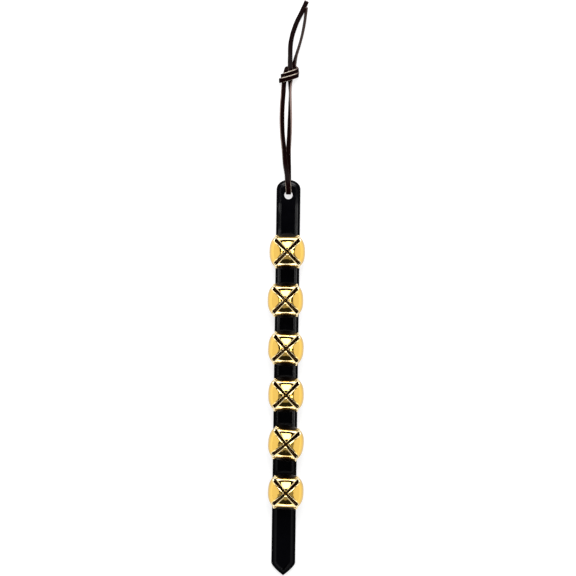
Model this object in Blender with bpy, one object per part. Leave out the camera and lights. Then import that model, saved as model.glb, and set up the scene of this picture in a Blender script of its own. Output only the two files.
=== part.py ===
"""Sleigh bells: six riveted cross-cut bells on a leather strap, hung from a knotted leather lace.

Lengths are in metres. X runs across the strap, Y along it towards the lace, and Z out of its
front. The strap lies on its back on the plane z = 0, and the origin is the middle of that back.
"""

import math

import bmesh
import bpy
from mathutils import Vector

MM = 0.001

# Strap
STRAP_WIDTH = 25.4 * MM
STRAP_LENGTH = 418.7 * MM
STRAP_THICKNESS = 4.0 * MM
STRAP_EDGE_ROUND = 1.1 * MM
TOP_END_DEPTH = 10.4 * MM
TOP_END_POWER = 2.05
POINT_DEPTH = 13.5 * MM
POINT_POWER = 1.45
LACE_HOLE_Y = 193.1 * MM
LACE_HOLE_RADIUS = 4.35 * MM
LIFT = 3.4 * MM  # the strap's top end rides up over the lace that passes behind it
LIFT_START_Y = 149.0 * MM
LIFT_END_Y = 185.0 * MM
LIFT_CUTS = 6

# Bells: one stamped brass shell each, with two crossed slots
BELL_PITCH = 50.4 * MM
FIRST_BELL_Y = 132.9 * MM
BELL_RADIUS = 18.7 * MM  # to the middle of a petal; the corners between petals stand further out
BELL_CORNER_POWER = 2.6  # 2 would be round, and a higher power is squarer
BELL_HALF_HEIGHT = 16.6 * MM
BELL_BASE_RADIUS = 7.0 * MM
BELL_WALL = 0.8 * MM
SLOT_WIDTH_AT_TIP = 2.3 * MM
SLOT_WIDTH_AT_END = 3.6 * MM
SLOT_END_ANGLE = math.radians(21.0)
PETAL_TIP_RADIUS = 1.9 * MM
PETALS = 4
COLUMNS_PER_PETAL = 4
# How far each bell sits off its even place, across and along the strap, and how many degrees
# it has turned clockwise on its rivet
BELL_SEATS = (
    (-0.4 * MM, 0.0 * MM, -0.7),
    (-1.6 * MM, -0.5 * MM, -0.8),
    (-0.4 * MM, -0.6 * MM, 2.5),
    (0.4 * MM, 1.3 * MM, 0.0),
    (1.1 * MM, 0.6 * MM, 5.7),
    (1.6 * MM, 0.0 * MM, 1.6),
)

# Pellets
PELLET_RADIUS = 4.5 * MM
PELLET_SIDE = 8.0 * MM
PELLET_SWING_RADIUS = 8.5 * MM

# Rivets and burrs
GAP = 0.3 * MM
SHANK_RADIUS = 2.2 * MM
RIVET_HEAD_RADIUS = 4.75 * MM
RIVET_HEAD_HEIGHT = 1.2 * MM
RIVET_TAIL_Z = 0.2 * MM
PEENED_RADIUS = 3.1 * MM
PEENED_HEIGHT = 0.4 * MM
BURR_RADIUS = 4.6 * MM
BURR_HEIGHT = 0.7 * MM
COUNTERBORE_RADIUS = BURR_RADIUS + GAP
ROUND_SIDES = 16

# Lace: the tubes stand for a flat lace, the knot for the overhand knot tied in both strands
LACE_TUBE_RADIUS = 1.2 * MM
LACE_POINT_STEP = 6.0 * MM
KNOT_CENTRE = Vector((-1.8, 320.7, 4.6)) * MM
KNOT_HALF_SIZE = Vector((10.0, 9.3, 4.5)) * MM
KNOT_POWER = 2.6
KNOT_SIDES = 16
KNOT_RINGS = 8

# The loop leaves the knot, runs down to the strap's front, through the hole and back up behind
LOOP_ROUTE_MM = (
    (-6.5, 311.1, 3.4), (-7.2, 299.1, 2.1), (-7.9, 287.1, 1.5), (-8.0, 272.6, 1.35),
    (-7.2, 257.1, 1.35), (-5.6, 241.1, 1.8), (-4.0, 227.1, 3.9), (-2.2, 216.1, 7.4),
    (-0.9, 207.1, 9.2), (-0.2, 200.7, 9.4), (0.0, 197.5, 9.0), (0.0, 195.7, 7.4),
    (0.0, 195.5, 5.4), (0.0, 195.7, 3.2), (0.0, 197.5, 1.6), (0.0, 200.7, 1.35),
    (-0.3, 208.1, 1.35), (-0.7, 225.1, 1.35), (-0.6, 241.1, 1.35), (0.2, 257.1, 1.35),
    (0.6, 272.7, 1.4), (0.5, 289.1, 1.6), (0.0, 301.1, 2.2), (-0.4, 310.9, 3.4),
)
LONG_TAIL_ROUTE_MM = (
    (-0.25, 330.4, 3.4), (-0.3, 341.1, 2.1), (-0.2, 351.1, 1.5), (0.5, 359.1, 1.35),
    (2.8, 367.1, 1.35), (6.7, 377.1, 1.35), (11.4, 387.6, 1.35), (16.1, 398.3, 1.35),
)
SHORT_TAIL_ROUTE_MM = (
    (3.5, 330.2, 3.4), (5.7, 340.1, 2.1), (9.2, 352.1, 1.5), (12.0, 363.1, 1.35),
    (14.2, 375.1, 1.35), (15.3, 384.1, 1.35), (15.8, 390.1, 1.35),
)

BELL_SEAT_Z = STRAP_THICKNESS + GAP
BELL_BASE_ANGLE = -math.acos(BELL_BASE_RADIUS / BELL_RADIUS)
PETAL_TIP_ANGLE = math.acos(PETAL_TIP_RADIUS / BELL_RADIUS)
BELL_CENTRE_Z = BELL_SEAT_Z - BELL_HALF_HEIGHT * math.sin(BELL_BASE_ANGLE)
RIVET_HEAD_Z = BELL_SEAT_Z + BELL_WALL + GAP


def clear_scene():
    for obj in list(bpy.data.objects):
        bpy.data.objects.remove(obj, do_unlink=True)


def make_material(name, colour, roughness, metallic):
    material = bpy.data.materials.new(name)
    material.use_nodes = True
    shader = material.node_tree.nodes["Principled BSDF"]
    shader.inputs["Base Color"].default_value = (*colour, 1.0)
    shader.inputs["Roughness"].default_value = roughness
    shader.inputs["Metallic"].default_value = metallic
    material.diffuse_color = (*colour, 1.0)
    return material


def link(obj, parent=None):
    bpy.context.scene.collection.objects.link(obj)
    obj.parent = parent
    return obj


def mesh_object(name, bm, material, parent=None, smooth=True):
    bmesh.ops.recalc_face_normals(bm, faces=bm.faces)
    mesh = bpy.data.meshes.new(name)
    bm.to_mesh(mesh)
    bm.free()
    if smooth:
        mesh.shade_smooth()
        mesh.set_sharp_from_angle(angle=math.radians(35))
    if material:
        mesh.materials.append(material)
    return link(bpy.data.objects.new(name, mesh), parent)


def empty(name, location):
    obj = link(bpy.data.objects.new(name, None))
    obj.location = location
    return obj


def add_ring(bm, points):
    return [bm.verts.new(point) for point in points]


def bridge(bm, lower, upper):
    """Joins two closed rings of the same count with quads."""
    count = len(lower)
    for i in range(count):
        j = (i + 1) % count
        bm.faces.new((lower[i], lower[j], upper[j], upper[i]))


def turned(profile, sides=ROUND_SIDES):
    """A body turned about Z from (radius, z) pairs; a profile that starts off the axis is a ring."""
    bm = bmesh.new()
    rings = []
    for radius, z in profile:
        angles = [math.tau * i / sides for i in range(sides)]
        rings.append(add_ring(bm, [(radius * math.cos(a), radius * math.sin(a), z) for a in angles]))
    for lower, upper in zip(rings, rings[1:]):
        bridge(bm, lower, upper)
    return bm, rings


def turned_solid(profile, sides=ROUND_SIDES):
    bm, rings = turned(profile, sides)
    bm.faces.new(rings[0])
    bm.faces.new(rings[-1])
    return bm


def turned_ring(profile, sides=ROUND_SIDES):
    bm, rings = turned(profile, sides)
    bridge(bm, rings[-1], rings[0])
    return bm


def strap_outline():
    """The strap's outline, counter-clockwise from the tip of its point."""
    half_width = STRAP_WIDTH / 2
    half_length = STRAP_LENGTH / 2
    right = []
    point_steps = 6
    for i in range(1, point_steps + 1):
        share = i / point_steps
        x = half_width * (1 - (1 - share) ** POINT_POWER)
        right.append((x, -half_length + POINT_DEPTH * share))
    arc_steps = 9
    for i in range(arc_steps):
        angle = math.pi / 2 * i / arc_steps
        x = half_width * math.cos(angle) ** (2 / TOP_END_POWER)
        y = TOP_END_DEPTH * math.sin(angle) ** (2 / TOP_END_POWER)
        right.append((x, half_length - TOP_END_DEPTH + y))
    left = [(-x, y) for x, y in reversed(right)]
    return [(0.0, -half_length), *right, (0.0, half_length), *left]


def inset(outline, distance):
    """The outline moved inwards, each corner along its mitre."""
    moved = []
    count = len(outline)
    for i in range(count):
        before = Vector(outline[i - 1])
        here = Vector(outline[i])
        after = Vector(outline[(i + 1) % count])
        way_in = (here - before).normalized()
        way_out = (after - here).normalized()
        normal_in = Vector((-way_in.y, way_in.x))
        normal_out = Vector((-way_out.y, way_out.x))
        mitre = (normal_in + normal_out).normalized()
        moved.append(here + mitre * distance / mitre.dot(normal_in))
    return moved


def lift_at(y):
    share = (y - LIFT_START_Y) / (LIFT_END_Y - LIFT_START_Y)
    share = min(max(share, 0.0), 1.0)
    return LIFT * share * share * (3 - 2 * share)


def strap_blank():
    """The strap before it is punched: rounded edges, and a top end that rides up over the lace."""
    edge = STRAP_EDGE_ROUND
    section = (
        (edge, 0.0),
        (0.3 * edge, 0.3 * edge),
        (0.0, edge),
        (0.0, STRAP_THICKNESS - edge),
        (0.3 * edge, STRAP_THICKNESS - 0.3 * edge),
        (edge, STRAP_THICKNESS),
    )
    outline = strap_outline()
    bm = bmesh.new()
    rings = [add_ring(bm, [(*p, z) for p in inset(outline, d)]) for d, z in section]
    for lower, upper in zip(rings, rings[1:]):
        bridge(bm, lower, upper)
    bm.faces.new(rings[0])
    bm.faces.new(rings[-1])
    for i in range(LIFT_CUTS + 1):
        y = LIFT_START_Y + (LIFT_END_Y - LIFT_START_Y) * i / LIFT_CUTS
        geometry = bm.verts[:] + bm.edges[:] + bm.faces[:]
        bmesh.ops.bisect_plane(bm, geom=geometry, plane_co=(0, y, 0), plane_no=(0, 1, 0))
    for vert in bm.verts:
        vert.co.z += lift_at(vert.co.y)
    return bm


def strap_cutter():
    """The punched lace hole, and for each rivet a shank hole with a recess for its burr."""
    recess_top = RIVET_TAIL_Z + PEENED_HEIGHT + GAP + BURR_HEIGHT + GAP
    beyond = 2 * MM
    whole = turned_solid(
        ((LACE_HOLE_RADIUS, -beyond), (LACE_HOLE_RADIUS, STRAP_THICKNESS + LIFT + beyond)), sides=24
    )
    bmesh.ops.translate(whole, verts=whole.verts, vec=(0, LACE_HOLE_Y, 0))
    profile = (
        (COUNTERBORE_RADIUS, -beyond),
        (COUNTERBORE_RADIUS, recess_top),
        (SHANK_RADIUS + GAP, recess_top),
        (SHANK_RADIUS + GAP, STRAP_THICKNESS + beyond),
    )
    for x, y in bell_places():
        hole = turned_solid(profile)
        bmesh.ops.translate(hole, verts=hole.verts, vec=(x, y, 0))
        piece = bpy.data.meshes.new("hole")
        hole.to_mesh(piece)
        hole.free()
        whole.from_mesh(piece)
        bpy.data.meshes.remove(piece)
    return whole


def make_strap(material):
    strap = mesh_object("strap", strap_blank(), material)
    cutter = mesh_object("strap_cutter", strap_cutter(), None, parent=strap, smooth=False)
    cutter.hide_render = True
    cutter.display_type = "WIRE"
    punch = strap.modifiers.new("punched_holes", "BOOLEAN")
    punch.operation = "DIFFERENCE"
    punch.solver = "EXACT"
    punch.object = cutter
    return strap


def bell_places():
    return [(x, FIRST_BELL_Y - BELL_PITCH * i + y) for i, (x, y, turn) in enumerate(BELL_SEATS)]


def plan_reach(turn):
    """How far the bell's rounded-square plan reaches at an angle round it, against its radius."""
    size = abs(math.cos(turn)) ** BELL_CORNER_POWER + abs(math.sin(turn)) ** BELL_CORNER_POWER
    return size ** (-1 / BELL_CORNER_POWER)


def shell_point(angle, turn):
    """A point of the outer skin at an elevation angle: round at the base, squarer from the middle up."""
    share = min((angle - BELL_BASE_ANGLE) / -BELL_BASE_ANGLE, 1.0)
    square = share * share * (3 - 2 * share)
    radius = BELL_RADIUS * math.cos(angle) * (1 + (plan_reach(turn) - 1) * square)
    return (radius * math.cos(turn), radius * math.sin(turn), BELL_HALF_HEIGHT * math.sin(angle))


def slot_half_width(angle):
    """Half the slot's width at an elevation angle: a round end, then a slow narrowing to the tips."""
    end_half = SLOT_WIDTH_AT_END / 2
    run = (angle - SLOT_END_ANGLE) * BELL_HALF_HEIGHT
    if run <= 0:
        return 0.0
    if run < end_half:
        return math.sqrt(end_half**2 - (end_half - run) ** 2)
    share = (angle - SLOT_END_ANGLE) / (PETAL_TIP_ANGLE - SLOT_END_ANGLE)
    return end_half + (SLOT_WIDTH_AT_TIP / 2 - end_half) * share


def shell_surface():
    """The bell's outer skin: a bowl below, four petals above, and a hole for the rivet."""
    bowl = [BELL_BASE_ANGLE, *(math.radians(a) for a in (-45, -22.5, 0, 12)), SLOT_END_ANGLE]
    petal = [*(math.radians(a) for a in (23, 27, 38, 50, 62, 73)), PETAL_TIP_ANGLE]
    columns = PETALS * COLUMNS_PER_PETAL
    quarter = math.tau / PETALS
    turns = [math.tau * i / columns - quarter / 2 for i in range(columns)]

    bm = bmesh.new()
    hole = SHANK_RADIUS + GAP
    z_base = BELL_HALF_HEIGHT * math.sin(BELL_BASE_ANGLE)
    rings = [add_ring(bm, [(hole * math.cos(t), hole * math.sin(t), z_base) for t in turns])]
    rings += [add_ring(bm, [shell_point(angle, t) for t in turns]) for angle in bowl]
    for lower, upper in zip(rings, rings[1:]):
        bridge(bm, lower, upper)

    for k in range(PETALS):
        first = k * COLUMNS_PER_PETAL
        lower = [rings[-1][(first + i) % columns] for i in range(COLUMNS_PER_PETAL + 1)]
        for angle in petal:
            corner_radius = BELL_RADIUS * math.cos(angle) * plan_reach(quarter / 2)
            reach = quarter / 2 - math.asin(slot_half_width(angle) / corner_radius)
            shares = [2 * i / COLUMNS_PER_PETAL - 1 for i in range(COLUMNS_PER_PETAL + 1)]
            upper = add_ring(bm, [shell_point(angle, k * quarter + reach * s) for s in shares])
            for i in range(COLUMNS_PER_PETAL):
                bm.faces.new((lower[i], lower[i + 1], upper[i + 1], upper[i]))
            lower = upper
    return bm


def make_shell(number, turn, material, axis):
    shell = mesh_object(f"bell_{number}_shell", shell_surface(), material, parent=axis)
    shell.location.z = BELL_CENTRE_Z
    shell.rotation_euler.z = -math.radians(turn)
    wall = shell.modifiers.new("wall", "SOLIDIFY")
    wall.thickness = BELL_WALL
    wall.offset = -1.0
    wall.use_even_offset = True
    return shell


def make_pellet(number, side, material, axis):
    """A steel ball beside the rivet head; its origin is on the axis that it rolls round."""
    bm = bmesh.new()
    bmesh.ops.create_uvsphere(bm, u_segments=14, v_segments=8, radius=PELLET_RADIUS)
    bmesh.ops.translate(bm, verts=bm.verts, vec=(side * PELLET_SIDE, 0, -PELLET_SWING_RADIUS))
    pellet = mesh_object(f"bell_{number}_pellet", bm, material, parent=axis)
    pellet.location.z = BELL_CENTRE_Z
    return pellet


def make_rivet(number, material, axis):
    head_z = RIVET_HEAD_Z
    profile = (
        (0.8 * PEENED_RADIUS, RIVET_TAIL_Z),
        (PEENED_RADIUS, RIVET_TAIL_Z + 0.5 * PEENED_HEIGHT),
        (PEENED_RADIUS, RIVET_TAIL_Z + PEENED_HEIGHT),
        (SHANK_RADIUS, RIVET_TAIL_Z + PEENED_HEIGHT),
        (SHANK_RADIUS, head_z),
        (RIVET_HEAD_RADIUS, head_z),
        (RIVET_HEAD_RADIUS, head_z + 0.4 * RIVET_HEAD_HEIGHT),
        (0.55 * RIVET_HEAD_RADIUS, head_z + RIVET_HEAD_HEIGHT),
    )
    return mesh_object(f"bell_{number}_rivet", turned_solid(profile), material, parent=axis)


def make_burr(number, material, axis):
    low = RIVET_TAIL_Z + PEENED_HEIGHT + GAP
    high = low + BURR_HEIGHT
    inner = SHANK_RADIUS + GAP
    profile = ((inner, low), (BURR_RADIUS, low), (BURR_RADIUS, high), (inner, high))
    return mesh_object(f"bell_{number}_burr", turned_ring(profile), material, parent=axis)


def smooth_route(points_mm):
    """Points along a smooth curve through the route, closer together where the route is."""
    points = [Vector(p) * MM for p in points_mm]
    padded = [2 * points[0] - points[1], *points, 2 * points[-1] - points[-2]]
    line = [points[0]]
    for a, b, c, d in zip(padded, padded[1:], padded[2:], padded[3:]):
        steps = max(2, round((c - b).length / LACE_POINT_STEP))
        for i in range(1, steps + 1):
            t = i / steps
            rise = (c - a) * t + (2 * a - 5 * b + 4 * c - d) * t**2 + (3 * b - a - 3 * c + d) * t**3
            line.append(b + rise / 2)
    return line


def make_lace_tube(name, route_mm, material):
    line = smooth_route(route_mm)
    curve = bpy.data.curves.new(name, "CURVE")
    curve.dimensions = "3D"
    curve.bevel_depth = LACE_TUBE_RADIUS
    curve.bevel_resolution = 2
    curve.use_fill_caps = True
    spline = curve.splines.new("POLY")
    spline.points.add(len(line) - 1)
    for point, place in zip(spline.points, line):
        point.co = (*place, 1.0)
    curve.materials.append(material)
    return link(bpy.data.objects.new(name, curve))


def make_lace_knot(material):
    """A plain rounded block of the knot's size, rounder than a box and squarer than a ball."""
    bm = bmesh.new()
    bmesh.ops.create_uvsphere(bm, u_segments=KNOT_SIDES, v_segments=KNOT_RINGS, radius=1.0)
    for vert in bm.verts:
        size = sum(abs(c) ** KNOT_POWER for c in vert.co) ** (1 / KNOT_POWER)
        vert.co = KNOT_CENTRE + vert.co * KNOT_HALF_SIZE / size
    return mesh_object("lace_knot", bm, material)


def main():
    clear_scene()
    black_leather = make_material("black_strap_leather", (0.012, 0.012, 0.014), 0.28, 0.0)
    brown_leather = make_material("brown_lace_leather", (0.045, 0.014, 0.011), 0.5, 0.0)
    bell_brass = make_material("polished_bell_brass", (0.88, 0.62, 0.22), 0.12, 1.0)
    rivet_brass = make_material("rivet_brass", (0.72, 0.5, 0.2), 0.3, 1.0)
    steel = make_material("pellet_steel", (0.55, 0.55, 0.56), 0.35, 1.0)

    make_strap(black_leather)
    for i, (x, y) in enumerate(bell_places()):
        number = i + 1
        axis = empty(f"bell_{number}_axis", (x, y, 0))
        side = 1 if i % 2 == 0 else -1
        make_shell(number, BELL_SEATS[i][2], bell_brass, axis)
        make_pellet(number, side, steel, axis)
        make_rivet(number, rivet_brass, axis)
        make_burr(number, rivet_brass, axis)

    make_lace_tube("lace_loop", LOOP_ROUTE_MM, brown_leather)
    make_lace_knot(brown_leather)
    make_lace_tube("lace_tail_long", LONG_TAIL_ROUTE_MM, brown_leather)
    make_lace_tube("lace_tail_short", SHORT_TAIL_ROUTE_MM, brown_leather)


main()
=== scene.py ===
"""The looks of the sleigh bells: brass bells on a creased leather strap, with a knotted lace.

Lengths are in metres, in the model's frame: X runs across the strap, Y along it towards the lace
and Z out of its front. The strap lies on its back on the plane z = 0.
"""

import math

import bmesh
import bpy
from mathutils import Matrix, Vector, noise


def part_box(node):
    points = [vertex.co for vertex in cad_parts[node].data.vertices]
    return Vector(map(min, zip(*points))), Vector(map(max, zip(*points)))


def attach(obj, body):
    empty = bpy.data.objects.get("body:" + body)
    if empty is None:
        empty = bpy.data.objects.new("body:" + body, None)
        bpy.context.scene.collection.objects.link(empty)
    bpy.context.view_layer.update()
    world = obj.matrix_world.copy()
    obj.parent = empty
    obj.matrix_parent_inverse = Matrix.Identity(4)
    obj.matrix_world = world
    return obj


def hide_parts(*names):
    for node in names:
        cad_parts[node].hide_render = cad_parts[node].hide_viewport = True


MM = 0.001
BELLS = range(1, 7)
SHARP_DEGREES = 40.0

# Camera: straight above the object, on its middle, turned by the small angle the strap hangs at
CAMERA_PLACE = Vector((0.9, 94.9, 2004.0)) * MM
CAMERA_TURN = math.radians(0.824)
CAMERA_LENS = 118.1  # millimetres, as the camera's sensor is too
CAMERA_SENSOR = 36.0

# Strap, as in the CAD model
STRAP_THICKNESS = 4.0 * MM
TOP_END_DEPTH = 10.4 * MM
TOP_END_POWER = 2.05
POINT_DEPTH = 13.5 * MM
POINT_POWER = 1.45
LACE_HOLE_Y = 193.1 * MM
LACE_HOLE_RADIUS = 4.35 * MM
LIFT = 3.4 * MM
LIFT_START_Y = 149.0 * MM
LIFT_END_Y = 185.0 * MM
# Strap, finer than the CAD model
POINT_STEPS = 8
TOP_END_STEPS = 20
LIFT_CUTS = 24
HOLE_RIM = 0.4 * MM
FLESH_TOP_Z = 0.2 * MM
# The strap's section as (distance in from the edge, depth below the face): a rounded edge, a
# low crown, then a creased line with a soft inner shoulder; and the plainer edge of the back
FACE_SECTION_MM = (
    (0.0, 1.3), (0.06, 0.95), (0.2, 0.66), (0.45, 0.5), (0.8, 0.44), (2.3, 0.42), (2.7, 0.36),
    (3.3, 0.18), (3.75, 0.02), (4.0, 0.0), (4.25, 0.1), (4.45, 0.26), (4.65, 0.26), (4.95, 0.12),
    (5.3, 0.03), (5.6, 0.0),
)
BACK_SECTION_MM = ((0.0, 0.9), (0.06, 0.55), (0.25, 0.25), (0.55, 0.06), (0.9, 0.0))

# Bells, as in the CAD model
BELL_RADIUS = 18.7 * MM
BELL_CORNER_POWER = 2.6
BELL_HALF_HEIGHT = 16.6 * MM
BELL_BASE_RADIUS = 7.0 * MM
BELL_WALL = 0.8 * MM
SLOT_WIDTH_AT_TIP = 2.3 * MM
SLOT_WIDTH_AT_END = 3.6 * MM
SLOT_END_ANGLE = math.radians(21.0)
PETAL_TIP_RADIUS = 1.9 * MM
BELL_TURNS = (-0.7, -0.8, 2.5, 0.0, 5.7, 1.6)  # degrees clockwise on the rivet
QUARTER = math.tau / 4
# Bells, finer than the CAD model
LIP_RADIUS = 1.25 * MM
LIP_PETAL_SHARE = 0.8  # the most of half a petal that its lip may take up
TIP_ROLL = 2.4 * MM  # the petals' tips curl down further than their sides
EAR_HEIGHT = 2.5 * MM  # the metal stands proud beside the outer end of each slot
EAR_ASIDE = 3.2 * MM
EAR_BELOW = 0.6 * MM
EAR_WIDTH = 1.8 * MM
EAR_LENGTH = 2.5 * MM
# The ears and a line along each end carry a painted highlight, pale cream mixed into the brass
EAR_HIGHLIGHT = 0.75
END_HIGHLIGHT_Y = 13.2 * MM  # the line along each end of the bell that carries a painted highlight
END_HIGHLIGHT_WIDTH = 0.75 * MM
END_HIGHLIGHT_SHARE = 0.7
SKIN_WAVE = 0.035 * MM
SKIN_WAVE_LENGTH = 9.0 * MM
SKIN_SEED_STEP = 7.3
TIP_WAVE = 0.16 * MM  # the petals were bent in over a former, so they ripple towards their tips
TIP_WAVE_LENGTH = 3.0 * MM
TIP_WAVE_REACH = 14.0 * MM
TIP_WAVE_FADE = TIP_WAVE_REACH / 1.5
TIP_SEED_STEP = 3.1
TIP_SEED_START = 9.0
# Painted shade: the skin is darkened low down, where it mirrors the shaded table by the bell's foot, and
# at its ends
PAINTED_SHADE_TOP = math.radians(35.0)
PAINTED_SHADE_FULL = math.radians(-25.0)
END_SHADE_START = 14.0 * MM  # painted shade: the ends that face other bells are darkened to stand for the dark strap and bells they mirror
END_SHADE_FULL = 14.9 * MM
END_SHADE_HALF_WIDTH = 9.2 * MM
END_SHADE_FADE = 1.6 * MM
# The skin's mesh: its columns across half a petal, and its rows from the base up to the tips
PETALS = 4
FACE_COLUMNS = 10
LIP_COLUMNS = 6
BASE_RING_RADIUS = 0.9 * BELL_BASE_RADIUS
NEAR_SLOT_ANGLE = math.radians(9.0)
BOWL_ROWS = 18
NEAR_SLOT_ROWS = 12
ROUND_END_ROWS = 6
PETAL_ROWS = 30
TIP_ROWS = 10

# Rivets, burrs and pellets, as in the CAD model
GAP = 0.3 * MM
SHANK_RADIUS = 2.2 * MM
RIVET_HEAD_RADIUS = 4.75 * MM
RIVET_HEAD_HEIGHT = 1.2 * MM
RIVET_TAIL_Z = 0.2 * MM
PEENED_RADIUS = 3.1 * MM
PEENED_HEIGHT = 0.4 * MM
BURR_RADIUS = 4.6 * MM
BURR_HEIGHT = 0.7 * MM
# Rivets, burrs and pellets, finer than the CAD model
TURNED_SIDES = 48
HEAD_UNDERSIDE_RADIUS = 0.96 * RIVET_HEAD_RADIUS
HEAD_CHAMFER_HEIGHT = 0.15 * RIVET_HEAD_HEIGHT
HEAD_RIM_HEIGHT = 0.45 * RIVET_HEAD_HEIGHT
HEAD_DOME_DEGREES = (84, 72, 60, 48, 36, 24, 12, 3)
# The hammered tail's section as (share of its radius, rise above its lowest point in millimetres)
TAIL_SECTION = ((0.12, 0.06), (0.55, 0.0), (0.86, 0.05), (1.0, 0.2), (0.97, 0.4))
HAMMER_START_RADIUS = 0.5 * PEENED_RADIUS
HAMMER_WAVE = 0.04
HAMMER_WAVES_PER_METRE = 600
HAMMER_SEED_STEP = 5.1
BURR_ROUNDING = 0.2 * MM
PELLET_DENT = 0.12 * MM
PELLET_DENT_SCALE = 2.3
PELLET_FLAT = 1.6 * MM
PELLET_FLAT_START = 0.94
PELLET_SEED_STEP = 3.7

# Lace: flat, with dark faces and pale raw edges
LACE_WIDTH = 4.9 * MM
LACE_THICKNESS = 2.2 * MM
LACE_CORNER = 0.5 * MM
LACE_CORNER_STEPS = 4
LACE_FACE_SHARES = (0.4, -0.4)
LACE_STEP = 1.0 * MM
LACE_SWELL = 0.05
LACE_SWELLS_PER_METRE = 140
FRONT_LACE_LENGTH = 278.0 * MM
BACK_LACE_LENGTH = 252.0 * MM
# Over the strap's end the lace is pressed wider
OVER_STRAP_END_Y = 214.0 * MM
OVER_STRAP_SPREAD = 0.2
# Where the look of the cut edges changes: off the strap, in the neck above it, in the knot, in its
# wraps that pass in front, and in the tails
NECK_START_Y = 204.0 * MM
NECK_FADE = 6.0 * MM
NECK_TOP_Y = 244.0 * MM
NECK_TOP_FADE = 12.0 * MM
KNOT_START_Y = 306.0 * MM
KNOT_FADE = 5.0 * MM
FRONT_WRAP_Z = 6.4 * MM
FRONT_WRAP_FADE = 1.2 * MM
TAIL_START_Y = 329.0 * MM
# How bare of dark oil the cut edges are, by those places, with painted shade on the knot's lower edges,
# and how much painted highlight they carry on the knot's front wraps and over the strap's end
EDGE_BARE = 0.75
NECK_OILED = 0.6
# Painted shade on the knot's lower edges, and painted highlight on its front wraps
KNOT_SHADE = 0.4
WRAP_HIGHLIGHT_BARE = 0.25
TAIL_OILED = 0.64
CUT_END_BARE = 0.6
# Painted cream highlight on the front wraps and over the strap's end
WRAP_HIGHLIGHT = 0.8
STRAP_END_HIGHLIGHT = 0.6
# How far round its corner the lace's section turns from dark face to cut edge, as a cosine
EDGE_COSINE_START = 0.15
EDGE_COSINE_FADE = 0.75
# Each strand is a list of (point, the way its face looks there), both in the model's frame and
# the points in millimetres: out of the hole, up to the knot, once round it, and out as a tail
FRONT_LACE = (
    ((0.0, 194.8, 5.4), (0, -1, 0)),
    ((0.0, 195.1, 7.6), (0, -1, 0.4)),
    ((0.0, 197.2, 9.2), (0, -0.6, 1)),
    ((-0.2, 200.7, 9.4), (0, 0, 1)),
    ((-0.9, 207.1, 9.2), (0, 0.1, 1)),
    ((-2.2, 216.1, 7.4), (0.15, 0.2, 1)),
    ((-4.0, 227.1, 3.9), (0.3, 0.2, 1)),
    ((-5.35, 241.1, 2.2), (0.4, 0, 1)),
    ((-7.2, 257.1, 1.9), (0.4, 0, 1)),
    ((-8.0, 272.6, 1.9), (0.4, 0, 1)),
    ((-7.9, 287.1, 1.9), (0.35, 0, 1)),
    ((-7.2, 299.1, 2.2), (0.3, 0, 1)),
    ((-6.5, 311.1, 3.3), (0.1, 0, 1)),
    ((-5.8, 316.5, 3.6), (0, 0, 1)),
    ((-5.1, 321.5, 3.9), (0, 0, 1)),
    ((-4.1, 325.6, 4.6), (0, 0.3, 0.9)),
    ((-2.6, 328.6, 3.6), (0, 1, 0.1)),
    ((-0.3, 328.0, 2.7), (0, 0.7, -0.6)),
    ((2.2, 326.6, 1.5), (0, 0, -1)),
    ((5.2, 324.6, 1.5), (0, 0, -1)),
    ((7.2, 323.0, 2.4), (0.4, 0, -0.9)),
    ((8.1, 321.6, 3.8), (1, -0.1, -0.2)),
    ((7.6, 320.0, 6.2), (0.8, -0.3, 0.6)),
    ((4.0, 318.3, 7.8), (0.1, -0.42, 1)),
    ((-1.5, 316.4, 8.1), (0, -0.42, 1)),
    ((-7.2, 314.9, 7.4), (-0.2, -0.5, 1)),
    ((-10.6, 314.2, 5.2), (-1, -0.2, 0.4)),
    ((-10.2, 314.5, 2.8), (-0.9, 0, -0.5)),
    ((-6.4, 315.6, 1.35), (0, 0, -1)),
    ((-1.6, 316.7, 1.35), (0, 0, -1)),
    ((0.9, 317.5, 2.1), (0.35, -0.1, -0.9)),
    ((2.6, 318.7, 3.1), (0.9, -0.4, -0.3)),
    ((1.9, 322.4, 4.8), (0.5, 0, 1)),
    ((0.2, 326.6, 5.5), (0, 0, 1)),
    ((-0.25, 330.4, 4.6), (0, 0, 1)),
    ((-0.3, 341.1, 2.4), (0, 0, 1)),
    ((-0.2, 351.1, 1.6), (0, 0, 1)),
    ((0.8, 359.1, 1.4), (-0.05, 0, 1)),
    ((2.8, 367.1, 1.4), (-0.05, 0, 1)),
    ((6.35, 377.1, 1.4), (-0.05, 0, 1)),
    ((11.4, 387.6, 1.4), (0, 0, 1)),
    ((16.5, 399.2, 1.4), (0, 0, 1)),
)
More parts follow.
